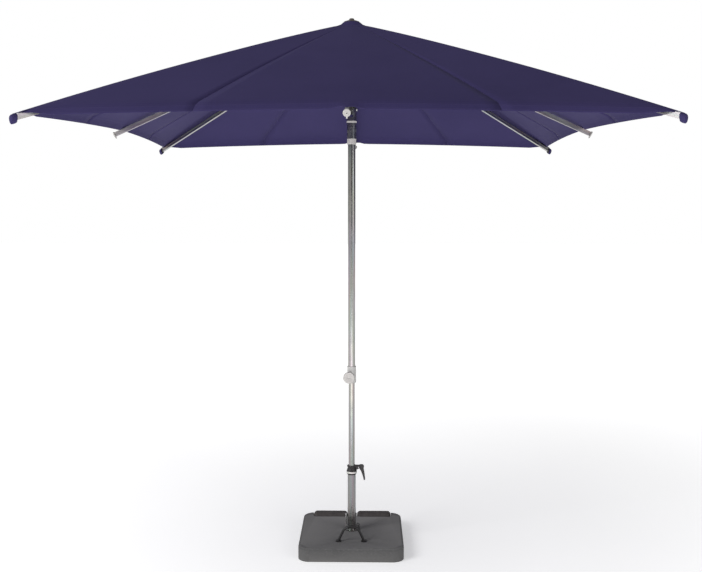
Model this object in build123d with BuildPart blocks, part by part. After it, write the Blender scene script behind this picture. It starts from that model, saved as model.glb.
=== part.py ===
from build123d import *
import math
import os

# Square patio umbrella on a wheeled concrete base.
# Millimetres. The origin is at the middle of the base's underside, +Z is up the pole, and the crank faces -Y.

# ---- base ----
base_side = 535.0
base_height = 70.0
base_corner_r = 58.0
base_edge_r = 11.0

roller_d = 84.0
roller_length = 186.0
roller_gap = 52.0
roller_lift = 2.0
recess_depth = 75.0
recess_corner_r = 20.0
roller_clearance = 2.0
axle_d = 12.0
axle_grip = 26.0

plate_rim = 11.5
plate_thickness = 5.0
ear_out = 20.5
ear_width = 26.0
screw_d = 8.0
screw_head_d = 13.0
screw_head_height = 5.5
stud_rise = 76.0
lug_width = 18.0
lug_height = 28.0
lug_thickness = 4.0
lug_hole_d = 6.5
screw_grip = 32.0

bow_rod_d = 12.5
bow_span = 130.0
bow_height = 84.0
bow_top_span = 62.0
bow_bend_r = 45.0
bow_y = -168.0
bow_socket_depth = 34.0
bow_foot_d = 28.0
bow_foot_height = 6.0

# ---- socket tube, clamp and liner ----
socket_wall = 2.2
socket_top = 398.0
liner_bottom = 170.0

clamp_bottom = 370.5
clamp_top = 418.0
clamp_chamfer = 4.5
clamp_chamfer_height = 8.0
clamp_low_wall = 5.2
clamp_high_wall = 5.4
clamp_flare = 8.0
band_bottom = 379.5
band_height = 9.0
band_proud = 0.9
pivot_out = 14.5
pivot_z = 410.5
pivot_pin_d = 5.0
clamp_ear_r = 8.0
clamp_ear_thickness = 4.0
lever_width = 13.0
lever_tip = 8.0
lever_arm = 34.5
lever_crest = 422.5
lever_tip_z = 340.0
lever_round = 2.0

liner_wall = 3.2
liner_lip = 2.0

# ---- pole ----
lower_pole_d = 32.0
upper_pole_d = 38.0
pole_wall = 1.6
housing_bottom = 860.0
housing_height = 87.0
housing_wall = 5.0
housing_socket = 24.0
drum_offset = -14.0
drum_z = 892.0
drum_d = 13.0
drum_length = 16.0
drum_shaft_d = 8.0
boss_d = 30.0
boss_reach = 31.0
wheel_d = 60.0
wheel_depth = 15.0
wheel_bore_d = 9.0
wheel_bore_depth = 6.0
wheel_edge = 1.5
wheel_knurls = 26
knurl_d = 4.0

# ---- tilt joint ----
tilt_z = 2262.0
low_collar_bottom = 2087.0
low_collar_height = 28.0
sleeve_height = 80.0
ring_height = 9.0
fork_collar_height = 20.0
low_collar_wall = 4.0
sleeve_wall = 5.0
fork_wall = 6.0
fork_inner_x = 5.0
fork_inset = 1.0
fork_eye_r = 20.0
knuckle_inset = 2.0
knuckle_gap = 1.0
knuckle_socket_drop = 28.0
knuckle_socket_height = 42.0
tilt_bolt_d = 8.0
tilt_bolt_head_d = 14.0
tilt_bolt_head_height = 4.0

# ---- head, crown and runner ----
head_tube_d = 42.0
crown_z = 2655.0
crown_pivot_r = 50.0
crown_r = 58.0
crown_slot_r = 33.0
crown_drop = 17.0
crown_shoulder = 20.0
crown_rise = 35.0
crown_pin_d = 4.0
crown_pin_grip = 5.0
finial_z = 2693.0
finial_d = 78.0
finial_rim = 2.5
finial_height = 12.0
finial_knob_d = 25.0
finial_knob_height = 7.0
finial_stem_d = 8.0

runner_pivot_z = 2301.0
runner_pivot_r = 56.0
runner_bore_gap = 5.5
runner_sleeve_wall = 4.5
runner_slot_r = 41.0
runner_r = 66.0
runner_disc_height = 24.0
runner_sleeve_height = 58.0

# ---- ribs and struts ----
rib_height = 22.0
rib_width = 14.0
rib_wall = 1.5
rib_groove_height = 9.0
rib_groove_depth = 2.0
rib_solid_end = 16.0
cap_plug = 14.0
cap_disc_d = 30.0
cap_corner_disc_d = 23.0
cap_disc_thickness = 6.0
cap_neck = 4.0
cap_hole_d = 7.0
cap_ring_share = 0.63
cap_nub_d = 6.0
cap_nub_drop = 6.0
strut_at_mid = 560.0
strut_at_corner = 538.0
strut_wall = 1.5
strut_web_side = 12.5
strut_free_side = 7.0
strut_outer_eye_r = 8.0
strut_inner_eye_r = 7.0
strut_outer_relief = 42.0
strut_inner_relief = 22.0
rivet_d = 5.0

# ---- canopy ----
canopy_side = 2500.0
canopy_inset = 39.5
canopy_drop = 559.0
cloth_thickness = 1.2
cloth_clearance = 0.5
hem_setback = 28.0
hem_arch = 12.0
hem_fold = 22.0
mid_tongue = 24.0
corner_tongue = 18.0
tongue_half = 60.0
wing_gap = 1.0
peak_r = 61.0
peak_wing_gap = 3.0

# ---- clearances ----
running_fit = 0.05
push_fit = 0.05
side_gap = 0.3
slot_gap = 1.2

# ---- worked out from the above ----
roller_r = roller_d / 2
roller_axis_y = base_side / 2 - recess_depth + roller_clearance + roller_r
roller_axis_z = roller_lift + roller_r
roller_edge_r = recess_corner_r - roller_clearance
roller_centre_x = (roller_gap + roller_length) / 2
recess_length = roller_length + 2 * roller_clearance
axle_half = roller_gap / 2 + roller_length + roller_clearance + axle_grip

plate_top = base_height + plate_thickness
lower_pole_r = lower_pole_d / 2
upper_pole_r = upper_pole_d / 2
liner_bore_r = lower_pole_r + running_fit
liner_r = liner_bore_r + liner_wall
socket_bore_r = liner_r + running_fit
socket_r = socket_bore_r + socket_wall
plate_r = socket_r + plate_rim
ear_reach = socket_r + ear_out
clamp_low_r = socket_r + clamp_low_wall
clamp_high_r = lower_pole_r + clamp_high_wall
clamp_flare_r = lower_pole_r + clamp_flare
pivot_x = socket_r + pivot_out
lever_reach = pivot_x + lever_arm
housing_d = upper_pole_d + 2 * housing_wall
pole_foot_z = plate_top + 0.5
housing_top = housing_bottom + housing_height
lower_pole_top = housing_bottom + housing_socket
upper_pole_bottom = housing_top - housing_socket

ring_bottom = low_collar_bottom + low_collar_height + sleeve_height
fork_bottom = ring_bottom + ring_height
fork_collar_top = fork_bottom + fork_collar_height
low_collar_d = upper_pole_d + 2 * low_collar_wall
sleeve_d = upper_pole_d + 2 * sleeve_wall
fork_d = upper_pole_d + 2 * fork_wall
fork_r = fork_d / 2
fork_outer_x = fork_r - fork_inset
knuckle_left_x = knuckle_inset - fork_r
runner_bore_d = fork_d + 2 * runner_bore_gap
runner_sleeve_d = runner_bore_d + 2 * runner_sleeve_wall
upper_pole_top = fork_bottom + fork_collar_height / 2
knuckle_right_x = fork_inner_x - knuckle_gap
head_tube_r = head_tube_d / 2
knuckle_socket_z = tilt_z + knuckle_socket_drop
crown_bottom = crown_z - crown_drop
crown_top = crown_z + crown_rise

slope = canopy_drop / (canopy_side / 2)
slope_angle = math.atan(slope)
cloth_rise = (rib_height / 2 + cloth_clearance + cloth_thickness) / math.cos(slope_angle)
apex_z = crown_z + slope * crown_pivot_r + cloth_rise
mid_tip_r = canopy_side / 2 - canopy_inset
mid_tip_z = crown_z - slope * (mid_tip_r - crown_pivot_r)
corner_tip_r = canopy_side / math.sqrt(2)
ridge_slope = slope / math.sqrt(2)
ridge_cover = cloth_rise + ridge_slope * rib_width / 2 + cloth_clearance
corner_tip_z = apex_z - ridge_slope * corner_tip_r - ridge_cover

directions = ["right", "back_right", "back", "back_left", "left", "front_left", "front", "front_right"]


def unit(azimuth):
    """The horizontal direction of an azimuth in degrees."""
    return math.cos(math.radians(azimuth)), math.sin(math.radians(azimuth))


def radial_plane(azimuth):
    """The upright plane through the pole's axis: local x runs outward, local y runs up."""
    c, s = unit(azimuth)
    return Plane(origin=(0, 0, 0), x_dir=(c, s, 0), z_dir=(s, -c, 0))


def bar_plane(azimuth, start, end):
    """The upright plane with its local x along a bar from start to end, both given as (radius, height)."""
    c, s = unit(azimuth)
    run, rise = end[0] - start[0], end[1] - start[1]
    return Plane(
        origin=(start[0] * c, start[0] * s, start[1]),
        x_dir=(run * c, run * s, rise),
        z_dir=(s, -c, 0),
    )


def along(start, end, distance):
    """The point at a distance from start towards end, both given as (radius, height)."""
    length = math.dist(start, end)
    return tuple(a + (b - a) * distance / length for a, b in zip(start, end))


def save(piece, name):
    piece.part.label = name
    export_step(piece.part, f"parts/{name}.step")


os.makedirs("parts", exist_ok=True)

# ======== base ========

# Cast block with two open pockets at the back edge for the rollers.
with BuildPart() as base_block:
    with BuildSketch(Plane.XY):
        RectangleRounded(base_side, base_side, base_corner_r)
    extrude(amount=base_height)
    fillet(base_block.faces().sort_by(Axis.Z)[-1].edges(), base_edge_r)
    with BuildSketch(Plane.XY):
        with Locations(
            (-roller_centre_x, base_side / 2 - recess_depth / 2 + recess_corner_r),
            (roller_centre_x, base_side / 2 - recess_depth / 2 + recess_corner_r),
        ):
            RectangleRounded(recess_length, recess_depth + 2 * recess_corner_r, recess_corner_r)
    extrude(amount=base_height, mode=Mode.SUBTRACT)
    with BuildSketch(Plane.YZ.offset(-axle_half)):
        with Locations((roller_axis_y, roller_axis_z)):
            Circle(axle_d / 2 + push_fit)
    extrude(amount=2 * axle_half, mode=Mode.SUBTRACT)
    with Locations((0, 0, base_height)):
        with GridLocations(2 * (ear_reach - ear_width / 2), 1, 2, 1):
            Hole(screw_d / 2 + push_fit, screw_grip - plate_thickness + 1)
    with Locations((0, bow_y, base_height)):
        with GridLocations(bow_span, 1, 2, 1):
            Hole(bow_rod_d / 2 + push_fit, bow_socket_depth)
save(base_block, "base_block")

with BuildPart() as roller_axle:
    with BuildSketch(Plane.YZ.offset(-axle_half)):
        with Locations((roller_axis_y, roller_axis_z)):
            Circle(axle_d / 2)
    extrude(amount=2 * axle_half)
    chamfer(roller_axle.edges(), 0.8)
save(roller_axle, "roller_axle")

for side, name in ((-1, "roller_left"), (1, "roller_right")):
    near_face = side * roller_centre_x - roller_length / 2
    with BuildPart() as roller:
        with BuildSketch(Plane.YZ.offset(near_face)):
            with Locations((roller_axis_y, roller_axis_z)):
                Circle(roller_r)
        extrude(amount=roller_length)
        fillet(roller.edges(), roller_edge_r)
        with BuildSketch(Plane.YZ.offset(near_face)):
            with Locations((roller_axis_y, roller_axis_z)):
                Circle(axle_d / 2 + running_fit)
        extrude(amount=roller_length, mode=Mode.SUBTRACT)
    save(roller, name)

# Socket tube welded to a round foot with two screwed ears. The right ear carries an upright lug.
ear_screw_x = ear_reach - ear_width / 2
lug_x = ear_reach - lug_width / 2
with BuildPart() as socket_tube:
    with BuildSketch(Plane.XY.offset(base_height)):
        Circle(plate_r)
        SlotOverall(2 * ear_reach, ear_width)
        with Locations((-ear_screw_x, 0), (ear_screw_x, 0)):
            Circle(screw_d / 2 + push_fit, mode=Mode.SUBTRACT)
    extrude(amount=plate_thickness)
    with BuildSketch(Plane.XY.offset(plate_top)):
        Circle(socket_r)
        Circle(socket_bore_r, mode=Mode.SUBTRACT)
    extrude(amount=socket_top - plate_top)
    with BuildSketch(Plane.XZ.offset(-ear_width / 2 + 1)):
        with Locations((lug_x, plate_top + (lug_height - lug_width / 2) / 2)):
            Rectangle(lug_width, lug_height - lug_width / 2)
        with Locations((lug_x, plate_top + lug_height - lug_width / 2)):
            Circle(lug_width / 2)
            Circle(lug_hole_d / 2, mode=Mode.SUBTRACT)
    extrude(amount=lug_thickness)
save(socket_tube, "socket_tube")

# The two ear screws: a short one on the right, and a tall stud with a hexagon head on the left.
with BuildPart() as socket_screws:
    for side, rise in ((-1, stud_rise), (1, 0)):
        with BuildSketch(Plane.XY.offset(plate_top - screw_grip)):
            with Locations((side * ear_screw_x, 0)):
                Circle(screw_d / 2)
        extrude(amount=screw_grip + rise)
        with BuildSketch(Plane.XY.offset(plate_top + rise)):
            with Locations((side * ear_screw_x, 0)):
                RegularPolygon(screw_head_d / 2, 6)
        extrude(amount=screw_head_height)
save(socket_screws, "socket_screws")

# Upright carrying bow: round bar bent into an arch whose legs lean inward, with a foot plate on each leg.
with BuildPart() as bow_handle:
    leg_foot = base_height + bow_foot_height - bow_rod_d / 4
    crest = base_height + bow_height - bow_rod_d / 2
    with BuildLine(Plane.XZ.offset(-bow_y)) as bow_arch:
        FilletPolyline(
            (-bow_span / 2, leg_foot),
            (-bow_top_span / 2, crest),
            (bow_top_span / 2, crest),
            (bow_span / 2, leg_foot),
            radius=bow_bend_r,
        )
    with BuildSketch(Plane(origin=bow_arch.line @ 0, z_dir=bow_arch.line % 0)):
        Circle(bow_rod_d / 2)
    sweep(path=bow_arch.line)
    with BuildSketch(Plane.XY.offset(base_height)):
        with Locations((-bow_span / 2, bow_y), (bow_span / 2, bow_y)):
            Circle(bow_rod_d / 2)
    extrude(amount=-bow_socket_depth + 1)
    with BuildSketch(Plane.XY.offset(base_height)):
        with Locations((-bow_span / 2, bow_y), (bow_span / 2, bow_y)):
            Circle(bow_foot_d / 2)
    extrude(amount=bow_foot_height)
save(bow_handle, "bow_handle")

# ======== clamp ========

pivot_gap = lever_width / 2 + side_gap
ear_outer_y = pivot_gap + clamp_ear_thickness
pin_half = ear_outer_y + 2
with BuildPart() as clamp_collar:
    with BuildSketch(Plane.XZ):
        with BuildLine():
            Polyline(
                (socket_r + push_fit, clamp_bottom),
                (clamp_low_r - clamp_chamfer, clamp_bottom),
                (clamp_low_r, clamp_bottom + clamp_chamfer_height),
                (clamp_low_r, band_bottom + band_height + 2),
                (clamp_high_r, clamp_top - 12),
                (clamp_flare_r, clamp_top),
                (lower_pole_r + side_gap, clamp_top),
                (lower_pole_r + side_gap, socket_top + liner_lip + side_gap),
                (socket_r + push_fit, socket_top + liner_lip + side_gap),
                close=True,
            )
        make_face()
    revolve(axis=Axis.Z)
    for ear_start in (pivot_gap, -ear_outer_y):
        with BuildSketch(Plane.XZ.offset(-ear_start - clamp_ear_thickness)):
            with BuildLine():
                Polyline(
                    (clamp_flare_r - 4, pivot_z + clamp_ear_r),
                    (pivot_x, pivot_z + clamp_ear_r),
                    (pivot_x, pivot_z - clamp_ear_r),
                    (clamp_flare_r - 1, pivot_z - 2 * clamp_ear_r),
                    close=True,
                )
            make_face()
            with Locations((pivot_x, pivot_z)):
                Circle(clamp_ear_r)
                Circle(pivot_pin_d / 2 + push_fit, mode=Mode.SUBTRACT)
        extrude(amount=clamp_ear_thickness)
    with BuildSketch(Plane.XY.offset(clamp_bottom)):
        Circle(lower_pole_r + side_gap)
    extrude(amount=clamp_top - clamp_bottom, mode=Mode.SUBTRACT)
    with BuildSketch(Plane.XY.offset(clamp_bottom)):
        Circle(socket_r + push_fit)
    extrude(amount=socket_top + liner_lip + side_gap - clamp_bottom, mode=Mode.SUBTRACT)
    with BuildSketch(Plane.XY.offset(band_bottom)):
        Circle(clamp_low_r + 1)
        Circle(clamp_low_r - 1.2, mode=Mode.SUBTRACT)
    extrude(amount=band_height, mode=Mode.SUBTRACT)
save(clamp_collar, "clamp_collar")

with BuildPart() as clamp_band:
    with BuildSketch(Plane.XY.offset(band_bottom)):
        Circle(clamp_low_r + band_proud)
        Circle(clamp_low_r - 1.2 + push_fit, mode=Mode.SUBTRACT)
    extrude(amount=band_height - push_fit)
    fillet(clamp_band.edges().group_by(Axis.Z)[-1].sort_by(SortBy.RADIUS)[-1], 0.8)
save(clamp_band, "clamp_band")

with BuildPart() as lever_pin:
    with BuildSketch(Plane.XZ.offset(-pin_half)):
        with Locations((pivot_x, pivot_z)):
            Circle(pivot_pin_d / 2)
    extrude(amount=2 * pin_half)
    chamfer(lever_pin.edges(), 0.6)
save(lever_pin, "lever_pin")

# Cam lever: a thick arm out from its pin, a knuckle, then a taper that curves down beside the socket tube.
with BuildPart() as clamp_lever:
    with BuildSketch(Plane.XZ):
        with BuildLine():
            Polyline(
                (pivot_x, pivot_z + clamp_ear_r - 1),
                (pivot_x + 8, lever_crest),
                (lever_reach - 11.5, lever_crest),
                (lever_reach - 5.5, lever_crest - 8.5),
                (lever_reach - 8, lever_crest - 20.5),
                (lever_reach - 4.5, lever_crest - 35),
                (lever_reach, lever_crest - 70),
                (lever_reach, lever_tip_z + 3),
                (lever_reach - 2, lever_tip_z),
                (lever_reach - lever_tip + 2, lever_tip_z),
                (lever_reach - lever_tip, lever_tip_z + 3),
                (lever_reach - lever_tip - 1.5, lever_crest - 70),
                (lever_reach - 15, lever_crest - 51),
                (lever_reach - 21, lever_crest - 35),
                (lever_reach - 30, lever_crest - 20),
                (pivot_x + 1, pivot_z - clamp_ear_r + 1),
                close=True,
            )
        make_face()
        with Locations((pivot_x, pivot_z)):
            Circle(clamp_ear_r - 1)
    extrude(amount=lever_width / 2, both=True)
    fillet(clamp_lever.edges().filter_by(Axis.Y).filter_by(lambda e: e.center().X > pivot_x + 8), lever_round)
    with BuildSketch(Plane.XZ):
        with Locations((pivot_x, pivot_z)):
            Circle(pivot_pin_d / 2 + running_fit)
    extrude(amount=lever_width, both=True, mode=Mode.SUBTRACT)
save(clamp_lever, "clamp_lever")

with BuildPart() as pole_liner:
    with BuildSketch(Plane.XZ):
        with BuildLine():
            Polyline(
                (liner_bore_r, liner_bottom),
                (liner_r, liner_bottom),
                (liner_r, socket_top + 0.1),
                (socket_r - 0.3, socket_top + 0.1),
                (socket_r - 0.3, socket_top + liner_lip),
                (liner_bore_r, socket_top + liner_lip),
                close=True,
            )
        make_face()
    revolve(axis=Axis.Z)
save(pole_liner, "pole_liner")

# ======== pole and crank ========

with BuildPart() as lower_pole:
    with BuildSketch(Plane.XY.offset(pole_foot_z)):
        Circle(lower_pole_r)
        Circle(lower_pole_r - pole_wall, mode=Mode.SUBTRACT)
    extrude(amount=lower_pole_top - pole_foot_z)
save(lower_pole, "lower_pole")

with BuildPart() as upper_pole:
    with BuildSketch(Plane.XY.offset(upper_pole_bottom)):
        Circle(upper_pole_r)
        Circle(upper_pole_r - pole_wall, mode=Mode.SUBTRACT)
    extrude(amount=upper_pole_top - upper_pole_bottom)
save(upper_pole, "upper_pole")

with BuildPart() as crank_housing:
    with BuildSketch(Plane.XY.offset(housing_bottom)):
        Circle(housing_d / 2)
    extrude(amount=housing_height)
    fillet(crank_housing.edges(), 2.5)
    with BuildSketch(Plane.XZ):
        with Locations((drum_offset, drum_z)):
            Circle(boss_d / 2)
    extrude(amount=boss_reach)
    fillet(crank_housing.faces().sort_by(Axis.Y)[0].edges(), 2)
    with BuildSketch(Plane.XY.offset(housing_bottom)):
        Circle(lower_pole_r + push_fit)
    extrude(amount=housing_socket, mode=Mode.SUBTRACT)
    with BuildSketch(Plane.XY.offset(upper_pole_bottom)):
        Circle(upper_pole_r + push_fit)
    extrude(amount=housing_socket, mode=Mode.SUBTRACT)
    with BuildSketch(Plane.XY.offset(lower_pole_top)):
        Circle(lower_pole_r - pole_wall)
    extrude(amount=upper_pole_bottom - lower_pole_top, mode=Mode.SUBTRACT)
    with BuildSketch(Plane.XZ.offset(-drum_length / 2)):
        with Locations((drum_offset, drum_z)):
            Circle(drum_d / 2 + 2)
    extrude(amount=drum_length, mode=Mode.SUBTRACT)
    with BuildSketch(Plane.XZ):
        with Locations((drum_offset, drum_z)):
            Circle(drum_shaft_d / 2 + running_fit)
    extrude(amount=boss_reach, mode=Mode.SUBTRACT)
save(crank_housing, "crank_housing")

wheel_front = boss_reach + 1 + wheel_depth
with BuildPart() as crank_shaft:
    with BuildSketch(Plane.XZ.offset(-drum_length / 2 + 1)):
        with Locations((drum_offset, drum_z)):
            Circle(drum_d / 2)
    extrude(amount=drum_length - 2)
    with BuildSketch(Plane.XZ):
        with Locations((drum_offset, drum_z)):
            Circle(drum_shaft_d / 2)
    extrude(amount=wheel_front - wheel_bore_depth)
save(crank_shaft, "crank_shaft")

# Hand wheel with a notched rim and a flat face.
with BuildPart() as crank_wheel:
    with BuildSketch(Plane.XZ.offset(boss_reach + 1)):
        with Locations((drum_offset, drum_z)):
            Circle(wheel_d / 2)
    extrude(amount=wheel_depth)
    chamfer(crank_wheel.edges(), wheel_edge)
    with BuildSketch(Plane.XZ.offset(boss_reach + 1)):
        with Locations((drum_offset, drum_z)):
            with PolarLocations(wheel_d / 2, wheel_knurls):
                Circle(knurl_d / 2)
            Circle(drum_shaft_d / 2 + push_fit)
    extrude(amount=wheel_depth, mode=Mode.SUBTRACT)
    with BuildSketch(Plane.XZ.offset(wheel_front)):
        with Locations((drum_offset, drum_z)):
            Circle(wheel_bore_d / 2)
    extrude(amount=-wheel_bore_depth, mode=Mode.SUBTRACT)
save(crank_wheel, "crank_wheel")

# ======== tilt joint ========

# Two plain rings, one below and one above the bright sleeve.
with BuildPart() as tilt_rings:
    with BuildSketch(Plane.XY.offset(low_collar_bottom)):
        Circle(low_collar_d / 2)
        Circle(upper_pole_r + push_fit, mode=Mode.SUBTRACT)
    extrude(amount=low_collar_height)
    with BuildSketch(Plane.XY.offset(ring_bottom)):
        Circle(fork_r)
        Circle(upper_pole_r + push_fit, mode=Mode.SUBTRACT)
    extrude(amount=ring_height)
save(tilt_rings, "tilt_rings")

with BuildPart() as tilt_sleeve:
    with BuildSketch(Plane.XY.offset(low_collar_bottom + low_collar_height)):
        Circle(sleeve_d / 2)
        Circle(upper_pole_r + push_fit, mode=Mode.SUBTRACT)
    extrude(amount=sleeve_height)
save(tilt_sleeve, "tilt_sleeve")

# Collar on the pole's end with one upright arm on the right.
with BuildPart() as tilt_fork:
    with BuildSketch(Plane.XY.offset(fork_bottom)):
        Circle(fork_r)
    extrude(amount=tilt_z + fork_eye_r - fork_bottom)
    with BuildSketch(Plane.YZ.offset(-fork_r)):
        with Locations((0, fork_collar_top + fork_r * 2)):
            Rectangle(4 * fork_r, 4 * fork_r)
    extrude(amount=fork_r + fork_inner_x, mode=Mode.SUBTRACT)
    with BuildSketch(Plane.YZ.offset(fork_outer_x)):
        with Locations((0, fork_collar_top + fork_r * 2)):
            Rectangle(4 * fork_r, 4 * fork_r)
    extrude(amount=fork_r, mode=Mode.SUBTRACT)
    with BuildSketch(Plane.YZ.offset(fork_inner_x)):
        with Locations((0, tilt_z + fork_r)):
            Rectangle(4 * fork_r, 2 * fork_r)
        with Locations((0, tilt_z)):
            Circle(fork_eye_r, mode=Mode.SUBTRACT)
    extrude(amount=fork_r, mode=Mode.SUBTRACT)
    with BuildSketch(Plane.XY.offset(fork_bottom)):
        Circle(upper_pole_r + push_fit)
    extrude(amount=fork_collar_height / 2, mode=Mode.SUBTRACT)
    with BuildSketch(Plane.YZ.offset(fork_inner_x)):
        with Locations((0, tilt_z)):
            Circle(tilt_bolt_d / 2 + push_fit)
    extrude(amount=fork_r, mode=Mode.SUBTRACT)
save(tilt_fork, "tilt_fork")

with BuildPart() as tilt_bolt:
    with BuildSketch(Plane.YZ.offset(knuckle_left_x + 2)):
        with Locations((0, tilt_z)):
            Circle(tilt_bolt_d / 2)
    extrude(amount=fork_outer_x - knuckle_left_x - 2)
    with BuildSketch(Plane.YZ.offset(fork_outer_x)):
        with Locations((0, tilt_z)):
            RegularPolygon(tilt_bolt_head_d / 2, 6)
    extrude(amount=tilt_bolt_head_height)
save(tilt_bolt, "tilt_bolt")

# Knuckle under the head tube: a round-ended tongue beside the arm, and a socket above it.
with BuildPart() as head_knuckle:
    with BuildSketch(Plane.XY.offset(tilt_z - fork_r)):
        Circle(fork_r)
    extrude(amount=fork_r + knuckle_socket_drop + knuckle_socket_height)
    with BuildSketch(Plane.YZ.offset(knuckle_right_x)):
        with Locations((0, knuckle_socket_z - 2 * fork_r)):
            Rectangle(4 * fork_r, 4 * fork_r)
    extrude(amount=2 * fork_r, mode=Mode.SUBTRACT)
    with BuildSketch(Plane.YZ.offset(-2 * fork_r)):
        with Locations((0, knuckle_socket_z - 2 * fork_r)):
            Rectangle(4 * fork_r, 4 * fork_r)
    extrude(amount=2 * fork_r + knuckle_left_x, mode=Mode.SUBTRACT)
    with BuildSketch(Plane.YZ.offset(-2 * fork_r)):
        with Locations((0, tilt_z - fork_r)):
            Rectangle(4 * fork_r, 2 * fork_r)
        with Locations((0, tilt_z)):
            Circle(fork_r, mode=Mode.SUBTRACT)
    extrude(amount=4 * fork_r, mode=Mode.SUBTRACT)
    with BuildSketch(Plane.YZ.offset(-2 * fork_r)):
        with Locations((0, tilt_z)):
            Circle(tilt_bolt_d / 2 + running_fit)
    extrude(amount=4 * fork_r, mode=Mode.SUBTRACT)
    with BuildSketch(Plane.XY.offset(knuckle_socket_z + 4)):
        Circle(head_tube_r + push_fit)
    extrude(amount=knuckle_socket_height, mode=Mode.SUBTRACT)
save(head_knuckle, "head_knuckle")

# ======== head ========

with BuildPart() as head_tube:
    with BuildSketch(Plane.XY.offset(knuckle_socket_z + 4)):
        Circle(head_tube_r)
        Circle(head_tube_r - pole_wall, mode=Mode.SUBTRACT)
    extrude(amount=crown_top - 6 - knuckle_socket_z - 4)
save(head_tube, "head_tube")


def radial_slots(inner_r, width, bottom):
    """Eight level strips from inner_r outward, to cut slots that are open at the rim."""
    with BuildSketch(Plane.XY.offset(bottom)) as slots:
        with PolarLocations(inner_r, 8):
            Rectangle(3 * inner_r, width, align=(Align.MIN, Align.CENTER))
    return slots.sketch


crown_slots = radial_slots(crown_slot_r, rib_width + 2 * side_gap, crown_bottom)
runner_slot_width = rib_width + 2 * side_gap + 2 * strut_wall + 2 * slot_gap
runner_bottom = runner_pivot_z - runner_disc_height / 2
runner_slots = radial_slots(runner_slot_r, runner_slot_width, runner_bottom)


with BuildPart() as crown_hub:
    with BuildSketch(Plane.XZ):
        with BuildLine():
            Polyline(
                (0, crown_top - 6),
                (head_tube_r + push_fit, crown_top - 6),
                (head_tube_r + push_fit, crown_bottom),
                (crown_r, crown_bottom),
                (crown_r, crown_z + crown_shoulder),
                (crown_pivot_r - 8, crown_top),
                (0, crown_top),
                close=True,
            )
        make_face()
    revolve(axis=Axis.Z)
    extrude(crown_slots, amount=crown_drop + crown_rise, mode=Mode.SUBTRACT)
    with BuildSketch(Plane.XY.offset(crown_bottom)):
        Circle(finial_stem_d / 2 + push_fit)
    extrude(amount=crown_drop + crown_rise, mode=Mode.SUBTRACT)
    for k in range(8):
        with BuildSketch(radial_plane(45 * k)):
            with Locations((crown_pivot_r, crown_z)):
                Circle(crown_pin_d / 2 + push_fit)
        extrude(amount=rib_width / 2 + side_gap + crown_pin_grip, both=True, mode=Mode.SUBTRACT)
save(crown_hub, "crown_hub")

with BuildPart() as crown_pins:
    for k in range(8):
        with BuildSketch(radial_plane(45 * k)):
            with Locations((crown_pivot_r, crown_z)):
                Circle(crown_pin_d / 2)
        extrude(amount=rib_width / 2 + side_gap + crown_pin_grip - 0.2, both=True)
save(crown_pins, "crown_pins")

# Cloth cap that covers the crown, closed except for the finial's stem.
peak_top = crown_top + cloth_clearance + cloth_thickness
peak_rim_z = apex_z - slope * peak_r + 2
with BuildPart() as canopy_peak:
    with BuildSketch(Plane.XZ):
        with BuildLine():
            Polyline(
                (finial_stem_d / 2 + side_gap, peak_top),
                (crown_pivot_r - 7, peak_top),
                (crown_r + 1, crown_z + crown_shoulder + 3.4),
                (peak_r, peak_rim_z),
                (peak_r, peak_rim_z - cloth_thickness),
                (crown_r + 0.6, crown_z + crown_shoulder + 1),
                (crown_pivot_r - 8, peak_top - cloth_thickness),
                (finial_stem_d / 2 + side_gap, peak_top - cloth_thickness),
                close=True,
            )
        make_face()
    revolve(axis=Axis.Z)
save(canopy_peak, "canopy_peak")

with BuildPart() as finial:
    with BuildSketch(Plane.XZ):
        with BuildLine():
            Polyline(
                (0, crown_bottom + 4),
                (finial_stem_d / 2, crown_bottom + 4),
                (finial_stem_d / 2, finial_z),
                (finial_d / 2, finial_z),
                (finial_d / 2, finial_z + finial_rim),
                (finial_knob_d / 2, finial_z + finial_height),
                (finial_knob_d / 2, finial_z + finial_height + finial_knob_height - 3),
                (finial_knob_d / 2 - 4, finial_z + finial_height + finial_knob_height),
                (0, finial_z + finial_height + finial_knob_height),
                close=True,
            )
        make_face()
    revolve(axis=Axis.Z)
save(finial, "finial")

# Slotted runner that the struts' inner ends sit in.
with BuildPart() as runner:
    with BuildSketch(Plane.XY.offset(runner_bottom)):
        Circle(runner_r)
    extrude(amount=runner_disc_height)
    chamfer(runner.edges(), 2)
    with BuildSketch(Plane.XY.offset(runner_bottom)):
        Circle(runner_sleeve_d / 2)
    extrude(amount=runner_sleeve_height)
    extrude(runner_slots, amount=runner_disc_height, mode=Mode.SUBTRACT)
    with BuildSketch(Plane.XY.offset(runner_bottom)):
        Circle(runner_bore_d / 2)
    extrude(amount=runner_sleeve_height, mode=Mode.SUBTRACT)
save(runner, "runner")

# ======== ribs, end caps and struts ========

crown_pivot = (crown_pivot_r, crown_z)
runner_pivot = (runner_pivot_r, runner_pivot_z)


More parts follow.
